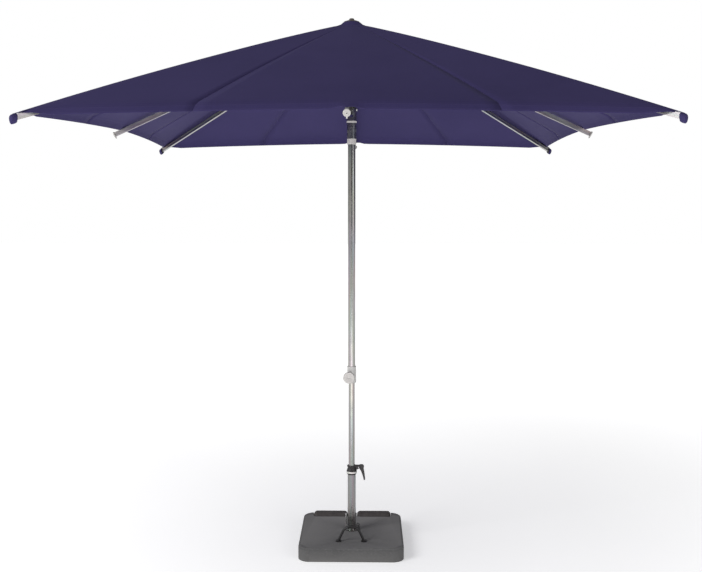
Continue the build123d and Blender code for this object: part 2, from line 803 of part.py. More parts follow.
def make_rib(name, plane, length, strut_at):
    """A drawn tube with a groove along each side, from its solid eye at the crown to its open end."""
    tube_end = length - cap_neck - cap_disc_thickness
    web_width = rib_width - 2 * rib_groove_depth
    with BuildPart() as rib:
        with BuildSketch(plane):
            Circle(rib_height / 2)
            Rectangle(tube_end, rib_height, align=(Align.MIN, Align.CENTER))
        extrude(amount=rib_width / 2, both=True)
        with BuildSketch(plane):
            with Locations((rib_solid_end, 0)):
                Rectangle(length, rib_height - 2 * rib_wall, align=(Align.MIN, Align.CENTER))
        extrude(amount=web_width / 2 - rib_wall, both=True, mode=Mode.SUBTRACT)
        for face in (web_width / 2, -rib_width / 2):
            with BuildSketch(plane.offset(face)):
                with Locations((rib_solid_end + rib_height / 2, 0)):
                    Rectangle(length, rib_groove_height, align=(Align.MIN, Align.CENTER))
            extrude(amount=rib_groove_depth, mode=Mode.SUBTRACT)
        with BuildSketch(plane):
            Circle(crown_pin_d / 2 + running_fit)
            with Locations((strut_at, 0)):
                Circle(rivet_d / 2 + running_fit)
        extrude(amount=rib_width, both=True, mode=Mode.SUBTRACT)
    save(rib, "rib_" + name)


def make_cap(name, plane, length, disc_d):
    """A plug with a round disc on the rib's end, and a small nub below the disc that the cloth hooks on."""
    disc_start = length - cap_disc_thickness
    plug_start = disc_start - cap_neck - cap_plug
    plug_width = rib_width - 2 * rib_groove_depth - 2 * rib_wall - 2 * push_fit
    across = Plane(origin=plane.origin + plane.x_dir * disc_start, x_dir=plane.z_dir, z_dir=plane.x_dir)
    face = across.offset(cap_disc_thickness)
    with BuildPart() as cap:
        with BuildSketch(across):
            Circle(disc_d / 2)
        extrude(amount=cap_disc_thickness)
        fillet(cap.edges(), 1.5)
        with BuildSketch(plane):
            with Locations((plug_start, 0)):
                Rectangle(
                    cap_plug + cap_neck + 1,
                    rib_height - 2 * rib_wall - 2 * push_fit,
                    align=(Align.MIN, Align.CENTER),
                )
        extrude(amount=plug_width / 2, both=True)
        with BuildSketch(face):
            Circle(disc_d * cap_ring_share / 2)
            Circle(disc_d * cap_ring_share / 2 - 1.5, mode=Mode.SUBTRACT)
        extrude(amount=-1, mode=Mode.SUBTRACT)
        with BuildSketch(face):
            Circle(cap_hole_d / 2)
        extrude(amount=-cap_disc_thickness + 1.5, mode=Mode.SUBTRACT)
        with BuildSketch(plane):
            with Locations((disc_start + cap_disc_thickness / 2, -(disc_d + cap_nub_drop) / 2 + 2)):
                SlotOverall(cap_nub_drop + cap_nub_d, cap_nub_d - 0.5, rotation=90)
        extrude(amount=cap_nub_d / 2, both=True)
    save(cap, "rib_cap_" + name)


def make_strut(name, plane, length):
    inner_half = rib_width / 2 + side_gap
    outer_half = inner_half + strut_wall
    height = strut_web_side + strut_free_side
    web_end = length - strut_inner_relief
    with BuildPart() as strut:
        with BuildSketch(plane):
            with BuildLine():
                Polyline(
                    (0, -strut_outer_eye_r),
                    (strut_outer_relief, -strut_web_side),
                    (web_end, -strut_web_side),
                    (length, -strut_inner_eye_r),
                    (length, strut_inner_eye_r),
                    (web_end, strut_free_side),
                    (strut_outer_relief, strut_free_side),
                    (0, strut_outer_eye_r),
                    close=True,
                )
            make_face()
            Circle(strut_outer_eye_r)
            with Locations((length, 0)):
                Circle(strut_inner_eye_r)
        extrude(amount=outer_half, both=True)
        with BuildSketch(plane):
            with Locations((-length / 2, -strut_web_side + strut_wall)):
                Rectangle(2 * length, height, align=(Align.MIN, Align.MIN))
            with Locations((strut_outer_relief, 0)):
                Rectangle(length, 4 * height, align=(Align.MAX, Align.CENTER))
            with Locations((web_end, 0)):
                Rectangle(length, 4 * height, align=(Align.MIN, Align.CENTER))
        extrude(amount=inner_half, both=True, mode=Mode.SUBTRACT)
        with BuildSketch(plane):
            Circle(rivet_d / 2)
            with Locations((length, 0)):
                Circle(rivet_d / 2)
        extrude(amount=outer_half + 1.2, both=True)
    save(strut, "strut_" + name)


# ======== canopy wings ========


def slope_plane(azimuth):
    """The outer face of one side of the canopy: origin at the apex, local x down the slope, local y level."""
    c, s = unit(azimuth)
    return Plane(
        origin=(0, 0, apex_z),
        x_dir=(c * math.cos(slope_angle), s * math.cos(slope_angle), -math.sin(slope_angle)),
        z_dir=(c * math.sin(slope_angle), s * math.sin(slope_angle), math.cos(slope_angle)),
    )


def on_slope(x, y):
    """A level footprint point of the side, x outward and y across, as slope plane coordinates."""
    return x / math.cos(slope_angle), y


mid_length = math.dist(crown_pivot, (mid_tip_r, mid_tip_z))
corner_length = math.dist(crown_pivot, (corner_tip_r, corner_tip_z))
mid_hem_x = along(crown_pivot, (mid_tip_r, mid_tip_z), mid_length - hem_setback)[0]
corner_hem_x = along(crown_pivot, (corner_tip_r, corner_tip_z), corner_length - hem_setback)[0] / math.sqrt(2)
inner_x = peak_r + peak_wing_gap


def hem_at(share):
    """How far out the hem runs, from 0 at a side's middle rib to 1 at its corner, without the tongues."""
    near, far = mid_hem_x - mid_tongue, corner_hem_x - corner_tongue
    return near + (far - near) * share - 4 * hem_arch * share * (1 - share)


seam_hem_x = hem_at(0.5)
seam_hem_y = seam_hem_x / 2
seam_shift = wing_gap / 2 * math.hypot(seam_hem_x, seam_hem_y) / seam_hem_x
mid_tongue_foot = (hem_at(tongue_half / mid_hem_x), tongue_half)
corner_tongue_foot = (hem_at(1 - tongue_half / corner_hem_x), corner_hem_x - tongue_half)


def make_wing(name, panels):
    """Flat panels of one wing, each given as plane, outline and the two ends of each folded hem stretch."""
    with BuildPart() as wing:
        for plane, outline, hems in panels:
            with BuildSketch(plane):
                with BuildLine():
                    Polyline(*[on_slope(x, y) for x, y in outline], close=True)
                make_face()
            extrude(amount=-cloth_thickness)
            for (ax, ay), (bx, by) in hems:
                with BuildSketch(plane):
                    with BuildLine():
                        Polyline(
                            on_slope(ax, ay),
                            on_slope(bx, by),
                            on_slope(bx - cloth_thickness, by),
                            on_slope(ax - cloth_thickness, ay),
                            close=True,
                        )
                    make_face()
                extrude(amount=-hem_fold)
    save(wing, "canopy_" + name)


def mid_panels(azimuth):
    """One panel over a mid-side rib, from seam to seam."""
    half = [
        (inner_x, inner_x / 2 - seam_shift),
        (seam_hem_x, seam_hem_y - seam_shift),
        mid_tongue_foot,
    ]
    mirrored = [(x, -y) for x, y in reversed(half)]
    hems = [half[1:], mirrored[:2]]
    return [(slope_plane(azimuth), half + [(mid_hem_x, 0)] + mirrored, hems)]


def corner_panels(azimuth):
    """Two panels that meet in a ridge over a corner rib."""
    panels = []
    for turn, side in ((-45, 1), (45, -1)):
        outline = [
            (inner_x, side * inner_x),
            (corner_hem_x, side * corner_hem_x),
            (corner_tongue_foot[0], side * corner_tongue_foot[1]),
            (seam_hem_x, side * (seam_hem_y + seam_shift)),
            (inner_x, side * (inner_x / 2 + seam_shift)),
        ]
        panels.append((slope_plane(azimuth + turn), outline, [outline[2:4]]))
    return panels


for k, name in enumerate(directions):
    azimuth = 45 * k
    is_corner = k % 2 == 1
    tip = (corner_tip_r, corner_tip_z) if is_corner else (mid_tip_r, mid_tip_z)
    strut_at = strut_at_corner if is_corner else strut_at_mid
    rib_length = math.dist(crown_pivot, tip)
    strut_pivot = along(crown_pivot, tip, strut_at)
    rib_plane = bar_plane(azimuth, crown_pivot, tip)
    make_rib(name, rib_plane, rib_length, strut_at)
    make_cap(name, rib_plane, rib_length, cap_corner_disc_d if is_corner else cap_disc_d)
    make_strut(name, bar_plane(azimuth, strut_pivot, runner_pivot), math.dist(strut_pivot, runner_pivot))
    make_wing(name, corner_panels(azimuth) if is_corner else mid_panels(azimuth))
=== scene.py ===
import math

import bmesh
import bpy
from mathutils import Euler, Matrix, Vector


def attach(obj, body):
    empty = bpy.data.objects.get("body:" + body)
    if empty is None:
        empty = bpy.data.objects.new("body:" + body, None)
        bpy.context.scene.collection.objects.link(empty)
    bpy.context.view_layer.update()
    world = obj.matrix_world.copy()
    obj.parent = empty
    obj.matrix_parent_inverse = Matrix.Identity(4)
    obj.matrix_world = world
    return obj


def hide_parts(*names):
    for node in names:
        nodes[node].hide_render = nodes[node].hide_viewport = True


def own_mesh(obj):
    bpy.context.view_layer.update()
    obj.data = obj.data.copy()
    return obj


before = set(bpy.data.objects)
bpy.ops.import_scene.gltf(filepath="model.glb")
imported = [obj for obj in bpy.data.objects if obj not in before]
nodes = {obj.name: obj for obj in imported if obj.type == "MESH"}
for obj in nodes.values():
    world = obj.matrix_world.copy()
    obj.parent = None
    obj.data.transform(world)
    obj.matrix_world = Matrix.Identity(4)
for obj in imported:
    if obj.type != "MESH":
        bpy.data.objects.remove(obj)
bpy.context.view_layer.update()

# Sizes are in metres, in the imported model's frame: Z up the pole, the crank faces -Y.
# The rib directions go round from +X. The odd ones point at the canopy's corners.
DIRECTIONS = ["right", "back_right", "back", "back_left", "left", "front_left", "front", "front_right"]

# Where the ribs leave the crown and where they end: a distance from the pole's axis, and a height.
CROWN_R = 0.050
CROWN_Z = 2.655
CROWN_TOP = 2.690
MID_TIP = (1.2105, 2.1360)
CORNER_TIP = (1.7678, 2.1156)

# The cloth is a pyramid with rounded ridges. It bulges between crown and hem and sags between ribs.
CLOTH = 0.0012
APEX_Z = 2.6913
SLOPE = 0.4472
RIDGE_ROUND = 0.010
BULGE = 0.0185
BULGE_LEAN = 0.93
BULGE_POWER = 2.2
SAG = 0.006
SAG_POWER = 1.4
SAG_LEAN = 0.9
SAG_REACH = 0.7
INNER_X = 0.064

# The hem from above: its distance out, its arch inward between ribs, and the tongues over their ends.
MID_HEM_X = 1.1849
CORNER_HEM_X = 1.2470
HEM_ARCH = 0.012
MID_TONGUE = 0.024
TONGUE_HALF = 0.062
CORNER_TONGUE = 0.034
CORNER_TONGUE_HALF = 0.150

# The hem's turned edge, and the curl that fades out inward from it and beside the ribs.
HEM_WIDTH = 0.026
HEM_RISE = 0.0009
HEM_EDGE_RISE = 0.0003
HEM_CURL = 0.040
HEM_CURL_POWER = 1.7
HEM_FOLD = 0.022
HEM_FOLD_AT_RIB = 0.006
RIB_CLEAR = 0.010
RIB_FADE = 0.060

# The grid of a wing: columns from seam to seam, crowded towards the rib, then rows from the hem inward.
# The hem's rows are distances from its edge, and the further rows are shares of the cloth's length.
WING_COLUMNS = 33
COLUMN_POWER = 1.35
HEM_ROWS = [0, 0.0016, 0.0070, 0.0130, 0.0190, HEM_WIDTH - 0.0012, HEM_WIDTH + 0.0006, 0.033, HEM_CURL]
FAR_ROWS = 34

# The felled seam over a corner rib, by places across it.
SEAM_CLOTH = 0.0006
SEAM_HALF = 0.0085
SEAM_ACROSS = (-SEAM_HALF, -0.0075, -0.004, 0, 0.004, 0.0075, SEAM_HALF)
SEAM_RISE = 0.0009
SEAM_EDGE_RISE = 0.0001
SEAM_START = INNER_X + 0.020
SEAM_LENGTH = CORNER_HEM_X - INNER_X - 0.021
SEAM_STEPS = 60

# The cup under a corner: (distance past the rib's end, radius), and how far its lower half hangs.
POCKET = [
    (-0.0170, 0.0124),
    (-0.0110, 0.0134),
    (-0.0030, 0.0136),
    (0.0026, 0.0130),
    (0.0050, 0.0108),
    (0.0060, 0.0065),
    (0.0062, 0.0025),
    (0.0062, 0.0002),
]
POCKET_TURNS = 28
POCKET_HANG = 1.60
POCKET_NARROWING = 12.0
POCKET_SLANT = 0.3
POCKET_UV = 0.017

# The cap over the crown: rings by radius, flat out to CAP_FLAT, then falling from CAP_BEND.
CAP_RINGS = [0.010, 0.022, 0.034, 0.040, 0.045, 0.050, 0.055, 0.060, 0.065, 0.071, 0.078, 0.086, 0.0925, 0.094]
CAP_TURNS = 64
CAP_FLAT = 0.040
CAP_BEND = 0.042
CAP_FALL = 0.86
CAP_OVER_CROWN = 0.0024
CAP_OVER_WINGS = 0.0030
CAP_TUCK = 0.0012

# Weave and stitches: threads per metre, stitch pitch and gap, half the thread's width, lines from the hem.
THREADS = 1100.0
STITCH = 0.0045
STITCH_GAP = 0.28
STITCH_HALF = 0.0005
STITCH_LINES = (0.003, 0.0185)

# The camera, and the area lights as (name, place, aim, sides, power in watts).
LENS = 46.75
SENSOR = 36.0
CAMERA_AT = (0.0726, -4.6779, 1.8253)
CAMERA_DOWN = 5.62
CAMERA_YAW = 0.0163
LIGHTS = [
    ("key", (-5.5, -4.0, 5.0), (0, 0, 1.0), (3.5, 3.5), 260),
    ("fill", (5.0, -4.5, 3.0), (0, 0, 1.0), (3.5, 3.5), 60),
    ("under", (0, -2.6, 0.3), (0, 0.6, 2.3), (3.0, 1.0), 18),
]

# The studio's brightness round the horizon, from behind by way of the left, the front and the right.
# Bright panels stand ahead left and ahead right of the object. It is dark between them and on the right.
HORIZON = [
    (0.06, (0.42, 0.42, 0.43)),
    (0.22, (0.36, 0.36, 0.37)),
    (0.30, (0.62, 0.62, 0.62)),
    (0.40, (0.66, 0.66, 0.66)),
    (0.475, (0.08, 0.08, 0.085)),
    (0.53, (0.08, 0.08, 0.085)),
    (0.60, (0.52, 0.52, 0.52)),
    (0.66, (0.48, 0.48, 0.48)),
    (0.75, (0.08, 0.08, 0.085)),
    (0.94, (0.30, 0.30, 0.31)),
]


# ---------------------------------------------------------------- materials

def new_material(name):
    made = bpy.data.materials.new(name)
    made.use_nodes = True
    return made, made.node_tree, made.node_tree.nodes["Principled BSDF"]


def add(tree, kind, **values):
    """A new shader node. Names of inputs set their values; other names set the node's own properties."""
    node = tree.nodes.new(kind)
    for key, value in values.items():
        label = key.replace("_", " ")
        if label in node.inputs:
            node.inputs[label].default_value = value
        else:
            setattr(node, key, value)
    return node


def link(tree, source, output, target, entry):
    tree.links.new(source.outputs[output], target.inputs[entry])


def place(tree, scale=(1, 1, 1), rotation=(0, 0, 0), coordinate="Object"):
    """Texture coordinates in metres, turned and then scaled."""
    start = add(tree, "ShaderNodeTexCoord")
    turn = add(tree, "ShaderNodeMapping")
    turn.vector_type = "POINT"
    turn.inputs["Rotation"].default_value = rotation
    stretch = add(tree, "ShaderNodeMapping")
    stretch.inputs["Scale"].default_value = scale
    link(tree, start, coordinate, turn, "Vector")
    link(tree, turn, "Vector", stretch, "Vector")
    return stretch


def noise(tree, where, scale, detail=3.0, roughness=0.5):
    made = add(tree, "ShaderNodeTexNoise", Scale=scale, Detail=detail, Roughness=roughness)
    link(tree, where, "Vector", made, "Vector")
    return made


def ramp(tree, source, output, stops):
    """Stops are (position, colour) pairs."""
    made = add(tree, "ShaderNodeValToRGB")
    band = made.color_ramp
    while len(band.elements) < len(stops):
        band.elements.new(0.5)
    for element, (position, colour) in zip(band.elements, stops):
        element.position = position
        element.color = (*colour, 1) if len(colour) == 3 else colour
    link(tree, source, output, made, "Fac")
    return made


def mix(tree, share, a, b, blend="MIX"):
    """Mixes two colours. Each of share, a and b is a number, a colour, or a (node, output) pair."""
    made = add(tree, "ShaderNodeMix", data_type="RGBA", blend_type=blend)
    for entry, value in ((0, share), (6, a), (7, b)):
        if isinstance(value, tuple) and isinstance(value[0], bpy.types.Node):
            tree.links.new(value[0].outputs[value[1]], made.inputs[entry])
        elif entry == 0:
            made.inputs[0].default_value = value
        else:
            made.inputs[entry].default_value = (*value, 1)
    return made, 2


def join(tree, pair, target, entry):
    tree.links.new(pair[0].outputs[pair[1]], target.inputs[entry])


def maths(tree, operation, *values):
    """The result of a math node, as a (node, output) pair. Each value is a number or such a pair."""
    made = add(tree, "ShaderNodeMath", operation=operation)
    for entry, value in enumerate(values):
        if isinstance(value, tuple):
            join(tree, value, made, entry)
        else:
            made.inputs[entry].default_value = value
    return made, 0


def bump(tree, bsdf, layers):
    """Stacks height layers, each (node, output, strength, distance in metres)."""
    previous = None
    for source, output, strength, distance in layers:
        made = add(tree, "ShaderNodeBump", Strength=strength, Distance=distance)
        link(tree, source, output, made, "Height")
        if previous is not None:
            link(tree, previous, "Normal", made, "Normal")
        previous = made
    link(tree, previous, "Normal", bsdf, "Normal")


def spread(tree, source, output, low, high, start=0.3, end=0.7):
    """Maps the range start..end, at first a texture's middle range, onto low..high."""
    made = add(tree, "ShaderNodeMapRange")
    made.inputs["From Min"].default_value = start
    made.inputs["From Max"].default_value = end
    made.inputs["To Min"].default_value = low
    made.inputs["To Max"].default_value = high
    link(tree, source, output, made, "Value")
    return made, 0


def concrete_material():
    """Cast grey concrete: cloudy tone, light and dark grains, small pits, paler rubbed edges, and painted
    shade that darkens the sides against the top.
    """
    made, tree, bsdf = new_material("concrete")
    where = place(tree)
    clouds = noise(tree, where, 9, 5, 0.6)
    grains = noise(tree, where, 260, 3, 0.7)
    chips = add(tree, "ShaderNodeTexVoronoi", Scale=190, Randomness=1.0)
    link(tree, where, "Vector", chips, "Vector")
    pits = add(tree, "ShaderNodeTexVoronoi", Scale=75, Randomness=1.0)
    link(tree, where, "Vector", pits, "Vector")
    tone = ramp(tree, clouds, "Fac", [(0.3, (0.104, 0.103, 0.104)), (0.7, (0.142, 0.141, 0.141))])
    light = ramp(tree, grains, "Fac", [(0.56, (0, 0, 0)), (0.68, (1, 1, 1))])
    dark = ramp(tree, chips, "Distance", [(0.08, (1, 1, 1)), (0.26, (0, 0, 0))])
    speckled = mix(tree, (light, 0), (tone, 0), (0.26, 0.25, 0.25))
    speckled = mix(tree, (dark, 0), speckled, (0.05, 0.047, 0.047))
    edges = add(tree, "ShaderNodeNewGeometry")
    worn = ramp(tree, edges, "Pointiness", [(0.52, (0, 0, 0)), (0.62, (1, 1, 1))])
    wear = mix(tree, (worn, 0), speckled, (0.23, 0.225, 0.222))
    facing = add(tree, "ShaderNodeSeparateXYZ")
    link(tree, edges, "Normal", facing, "Vector")
    # Painted shade: the colour darkens as a face turns away from up, so the sides come out darker than the
    # top.
    painted_side_shade = ramp(tree, facing, "Z", [(0.15, (0.62, 0.62, 0.62)), (0.95, (1, 1, 1))])
    shaded = mix(tree, 1.0, wear, (painted_side_shade, 0), "MULTIPLY")
    join(tree, shaded, bsdf, "Base Color")
    join(tree, spread(tree, grains, "Fac", 0.82, 0.97), bsdf, "Roughness")
    hollow = ramp(tree, pits, "Distance", [(0.06, (0, 0, 0)), (0.2, (1, 1, 1))])
    bump(tree, bsdf, [(grains, "Fac", 0.5, 0.0012), (hollow, 0, 0.35, 0.0008), (clouds, "Fac", 0.3, 0.002)])
    return made


def metal_material(name, colour, roughness, axis=(0, 0, 1), streak=0.12, metallic=1.0):
    """Metal with drawing lines along axis and a faint change of tone."""
    made, tree, bsdf = new_material(name)
    turn = Vector(axis).rotation_difference(Vector((0, 0, 1))).to_euler()
    lines = noise(tree, place(tree, (900, 900, 2.5), turn), 1, 2, 0.6)
    broad = noise(tree, place(tree, (60, 60, 4), turn), 1, 3, 0.5)
    smudge = noise(tree, place(tree), 22, 4, 0.6)
    dark = tuple(c * (1 - streak) for c in colour)
    light = tuple(min(1, c * (1 + streak)) for c in colour)
    tone = ramp(tree, lines, "Fac", [(0.3, dark), (0.7, light)])
    tinted = mix(tree, 0.25, (tone, 0), (broad, 1), "OVERLAY")
    join(tree, tinted, bsdf, "Base Color")
    join(tree, spread(tree, smudge, "Fac", roughness - 0.05, roughness + 0.09), bsdf, "Roughness")
    bsdf.inputs["Metallic"].default_value = metallic
    bump(tree, bsdf, [(lines, "Fac", 0.12, 0.00015)])
    return made


def plastic_material(name, colour, roughness, grain=0.25, coat=0.0):
    """Moulded plastic: fine spark texture, soft tone changes and lighter handling wear on its edges."""
    made, tree, bsdf = new_material(name)
    where = place(tree)
    fine = noise(tree, where, 1500, 2, 0.6)
    soft = noise(tree, where, 30, 4, 0.6)
    dark = tuple(c * 0.86 for c in colour)
    light = tuple(min(1, c * 1.14 + 0.004) for c in colour)
    tone = ramp(tree, soft, "Fac", [(0.3, dark), (0.7, light)])
    edges = add(tree, "ShaderNodeNewGeometry")
    worn = ramp(tree, edges, "Pointiness", [(0.53, (0, 0, 0)), (0.66, (0.6, 0.6, 0.6))])
    rubbed = mix(tree, (worn, 0), (tone, 0), tuple(min(1, c * 1.5 + 0.02) for c in colour))
    join(tree, rubbed, bsdf, "Base Color")
    join(tree, spread(tree, soft, "Fac", roughness - 0.05, roughness + 0.08), bsdf, "Roughness")
    bsdf.inputs["Coat Weight"].default_value = coat
    bsdf.inputs["Coat Roughness"].default_value = 0.15
    bump(tree, bsdf, [(fine, "Fac", grain, 0.0002)])
    return made


def rubber_material():
    """Dusty dark rubber."""
    made, tree, bsdf = new_material("roller_rubber")
    where = place(tree)
    fine = noise(tree, where, 420, 3, 0.6)
    dust = noise(tree, where, 26, 5, 0.65)
    tone = ramp(tree, dust, "Fac", [(0.3, (0.040, 0.034, 0.033)), (0.72, (0.085, 0.076, 0.074))])
    join(tree, (tone, 0), bsdf, "Base Color")
    join(tree, spread(tree, dust, "Fac", 0.6, 0.85), bsdf, "Roughness")
    bump(tree, bsdf, [(fine, "Fac", 0.3, 0.0003)])
    return made


def fabric_material():
    """Plain-woven indigo canvas. UV x runs along the hem and UV y is the distance from the hem, in metres."""
    made, tree, bsdf = new_material("canopy_fabric")
    uv = place(tree, coordinate="UV")
    where = place(tree)
    parts = add(tree, "ShaderNodeSeparateXYZ")
    link(tree, uv, "Vector", parts, "Vector")
    warp = add(tree, "ShaderNodeTexWave", Scale=THREADS / 20, Distortion=0.6, bands_direction="X")
    weft = add(tree, "ShaderNodeTexWave", Scale=THREADS / 20, Distortion=0.6, bands_direction="Y")
    for wave in (warp, weft):
        wave.inputs["Detail"].default_value = 1.0
        link(tree, uv, "Vector", wave, "Vector")
    weave = maths(tree, "MULTIPLY", (warp, "Fac"), (weft, "Fac"))
    slub = noise(tree, place(tree, (260, 14, 1), coordinate="UV"), 1, 3, 0.6)
    fade = noise(tree, where, 2.2, 4, 0.55)
    crease = noise(tree, place(tree, (9, 3.5, 1), coordinate="UV"), 1, 5, 0.6)
    tone = ramp(tree, fade, "Fac", [(0.3, (0.0350, 0.0285, 0.0920)), (0.7, (0.0415, 0.0335, 0.1050))])
    threads = ramp(tree, slub, "Fac", [(0.35, (0.42, 0.42, 0.42)), (0.65, (0.58, 0.58, 0.58))])
    cloth = mix(tree, 0.35, (tone, 0), (threads, 0), "OVERLAY")
    bands = []
    for line in STITCH_LINES:
        off = maths(tree, "ABSOLUTE", maths(tree, "SUBTRACT", (parts, "Y"), line))
        bands.append(maths(tree, "LESS_THAN", off, STITCH_HALF))
    beat = maths(tree, "ABSOLUTE", maths(tree, "MODULO", (parts, "X"), STITCH))
    thread = maths(tree, "GREATER_THAN", beat, STITCH * STITCH_GAP)
    stitch = maths(tree, "MULTIPLY", maths(tree, "ADD", *bands), thread)
    sewn = mix(tree, stitch, cloth, (0.055, 0.046, 0.115))
    join(tree, sewn, bsdf, "Base Color")
    join(tree, spread(tree, slub, "Fac", 0.78, 0.92), bsdf, "Roughness")
    bsdf.inputs["Specular IOR Level"].default_value = 0.10
    bsdf.inputs["Sheen Weight"].default_value = 0.03
    bsdf.inputs["Sheen Roughness"].default_value = 0.45
    bsdf.inputs["Sheen Tint"].default_value = (0.45, 0.42, 0.75, 1)
    bump(
        tree,
        bsdf,
        [
            (*weave, 0.22, 0.00025),
            (slub, "Fac", 0.12, 0.0003),
            (*stitch, 0.5, 0.0004),
            (crease, "Fac", 0.10, 0.004),
        ],
    )
    return made


def direction(k):
    """The unit vector of the eight rib directions, seen from above."""
    return math.cos(math.radians(45 * k)), math.sin(math.radians(45 * k))


def dress(name, made):
    """Gives a CAD node its material."""
    data = nodes[name].data
    data.materials.clear()
    data.materials.append(made)


FABRIC = fabric_material()
BLACK = plastic_material("black_plastic", (0.012, 0.010, 0.011), 0.45)
LIGHT = plastic_material("light_plastic", (0.45, 0.43, 0.415), 0.45)
CAP = plastic_material("cap_plastic", (0.44, 0.425, 0.41), 0.5)
ALUMINIUM = metal_material("anodised_aluminium", (0.30, 0.295, 0.29), 0.20)
STEEL = metal_material("galvanised_steel", (0.27, 0.265, 0.265), 0.20, streak=0.15)
BRIGHT = metal_material("bright_steel", (0.62, 0.61, 0.60), 0.24, streak=0.15)
FINISHES = {
    "base_block": concrete_material(),
    "roller_left": rubber_material(),
    "bow_handle": metal_material("black_steel", (0.012, 0.011, 0.012), 0.45, metallic=0.1),
    "pole_liner": plastic_material("nylon", (0.10, 0.10, 0.105), 0.5),
    "crank_housing": plastic_material("housing_grey", (0.50, 0.49, 0.475), 0.30, coat=0.3),
    "finial": plastic_material("finial_brown", (0.050, 0.036, 0.032), 0.45),
}
FINISHES["roller_right"] = FINISHES["roller_left"]
for node in ("socket_screws", "clamp_band", "lever_pin", "roller_axle", "crown_pins", "tilt_bolt"):
    FINISHES[node] = BRIGHT
FINISHES["socket_tube"] = STEEL
for node in ("clamp_collar", "clamp_lever", "crown_hub", "runner", "head_knuckle"):
    FINISHES[node] = BLACK
for node in ("lower_pole", "upper_pole", "tilt_sleeve", "tilt_fork", "head_tube", "crank_shaft"):
    FINISHES[node] = ALUMINIUM
for node in ("tilt_rings", "crank_wheel"):
    FINISHES[node] = LIGHT
for k, where in enumerate(DIRECTIONS):
    c, s = direction(k)
    tip = CORNER_TIP if k % 2 else MID_TIP
    run = (tip[0] - CROWN_R, tip[1] - CROWN_Z)
    FINISHES["rib_" + where] = metal_material(
        "rib_aluminium_" + where, (0.40, 0.395, 0.39), 0.34, (run[0] * c, run[0] * s, run[1])
    )
    FINISHES["strut_" + where] = metal_material(
        "strut_aluminium_" + where, (0.36, 0.355, 0.35), 0.36, (c, s, -0.25)
    )
    FINISHES["rib_cap_" + where] = CAP
for node, made in FINISHES.items():
    dress(node, made)


# ---------------------------------------------------------------- canopy

def smooth_max(a, b):
    return (a + b + math.sqrt((a - b) ** 2 + RIDGE_ROUND**2)) / 2


def hem_x(q):
    """How far out the hem of one side runs. q is 0 at the side's middle rib and 1 at its corner."""
    q = abs(q)
    mid, corner = MID_HEM_X - MID_TONGUE, CORNER_HEM_X - CORNER_TONGUE
    x = mid + (corner - mid) * q - HEM_ARCH * 4 * q * (1 - q)
    y = q * x
    x += MID_TONGUE * max(0, 1 - y / TONGUE_HALF) ** 2
    x += CORNER_TONGUE * max(0, 1 - (CORNER_HEM_X - y) / CORNER_TONGUE_HALF) ** 2
    return x


def cloth_height(x, y):
    """The canopy's upper surface over a point of the plan."""
    big, small = max(abs(x), abs(y)), min(abs(x), abs(y))
    out = min(1, big / CORNER_HEM_X)
    q = small / max(big, 1e-6)
    lift = BULGE * (1 - abs(2 * out**BULGE_LEAN - 1) ** BULGE_POWER)
    sag = SAG * (4 * q * (1 - q)) ** SAG_POWER * math.sin(math.pi * out**SAG_LEAN) ** SAG_REACH
    return APEX_Z - SLOPE * smooth_max(abs(x), abs(y)) + lift - sag


def hem_drop(distance, off_rib):
    """How far the cloth curls down, by its distance from the hem and from the nearest rib's line."""
    if distance >= HEM_CURL:
        return 0.0
    clear = min(1.0, max(0.0, (off_rib - RIB_CLEAR) / RIB_FADE))
    clear = clear * clear * (3 - 2 * clear)
    fold = HEM_FOLD_AT_RIB + (HEM_FOLD - HEM_FOLD_AT_RIB) * clear
    return fold * (1 - distance / HEM_CURL) ** HEM_CURL_POWER


def hem_rise(distance):
    """How far the hem's doubled cloth stands over the plain cloth."""
    if distance == 0:
        return HEM_EDGE_RISE
    return HEM_RISE if distance < HEM_WIDTH - 0.0005 else 0.0


def surface_mesh(name, grid, uv):
    """A mesh from a grid of points, given row by row, with one UV pair for each point."""
    rows, columns = len(grid), len(grid[0])
    made = bpy.data.meshes.new(name)
    points = [p for row in grid for p in row]
    faces = [
        (i * columns + j, i * columns + j + 1, (i + 1) * columns + j + 1, (i + 1) * columns + j)
        for i in range(rows - 1)
        for j in range(columns - 1)
    ]
    made.from_pydata(points, [], faces)
    layer = made.uv_layers.new(name="UVMap")
    flat = [p for row in uv for p in row]
    for loop in made.loops:
        layer.data[loop.index].uv = flat[loop.vertex_index]
    made.shade_smooth()
    return made


def sew(name, mesh, thickness):
    """A canopy piece from the mesh of its outer side, with its thickness in its final mesh."""
    piece = bpy.data.objects.new(name, mesh)
    bpy.context.scene.collection.objects.link(piece)
    mesh.materials.append(FABRIC)
    wall = piece.modifiers.new("thickness", "SOLIDIFY")
    wall.thickness = thickness
    wall.offset = -1.0
    wall.use_even_offset = True
    graph = bpy.context.evaluated_depsgraph_get()
    final = bpy.data.meshes.new_from_object(piece.evaluated_get(graph))
    final.name = piece.name
    piece.modifiers.clear()
    piece.data = final
    return piece


def weld(mesh):
    """Joins the first and the last column of a closed grid."""
    welder = bmesh.new()
    welder.from_mesh(mesh)
    bmesh.ops.remove_doubles(welder, verts=welder.verts, dist=1e-6)
    bmesh.ops.recalc_face_normals(welder, faces=welder.faces)
    welder.to_mesh(mesh)
    welder.free()


def wing_lines(k):
    """The cloth's lines over rib k: the side that each lies on, in degrees round the pole, and its q."""
    lines = []
    for j in range(WING_COLUMNS):
        s = 2 * j / (WING_COLUMNS - 1) - 1
        half = abs(s) ** COLUMN_POWER * 0.5
        if k % 2 == 0:
            lines.append((45 * k, math.copysign(half, s)))
        else:
            lines.append((45 * k - 45, 1 - half) if s < 0 else (45 * k + 45, half - 1))
    return lines


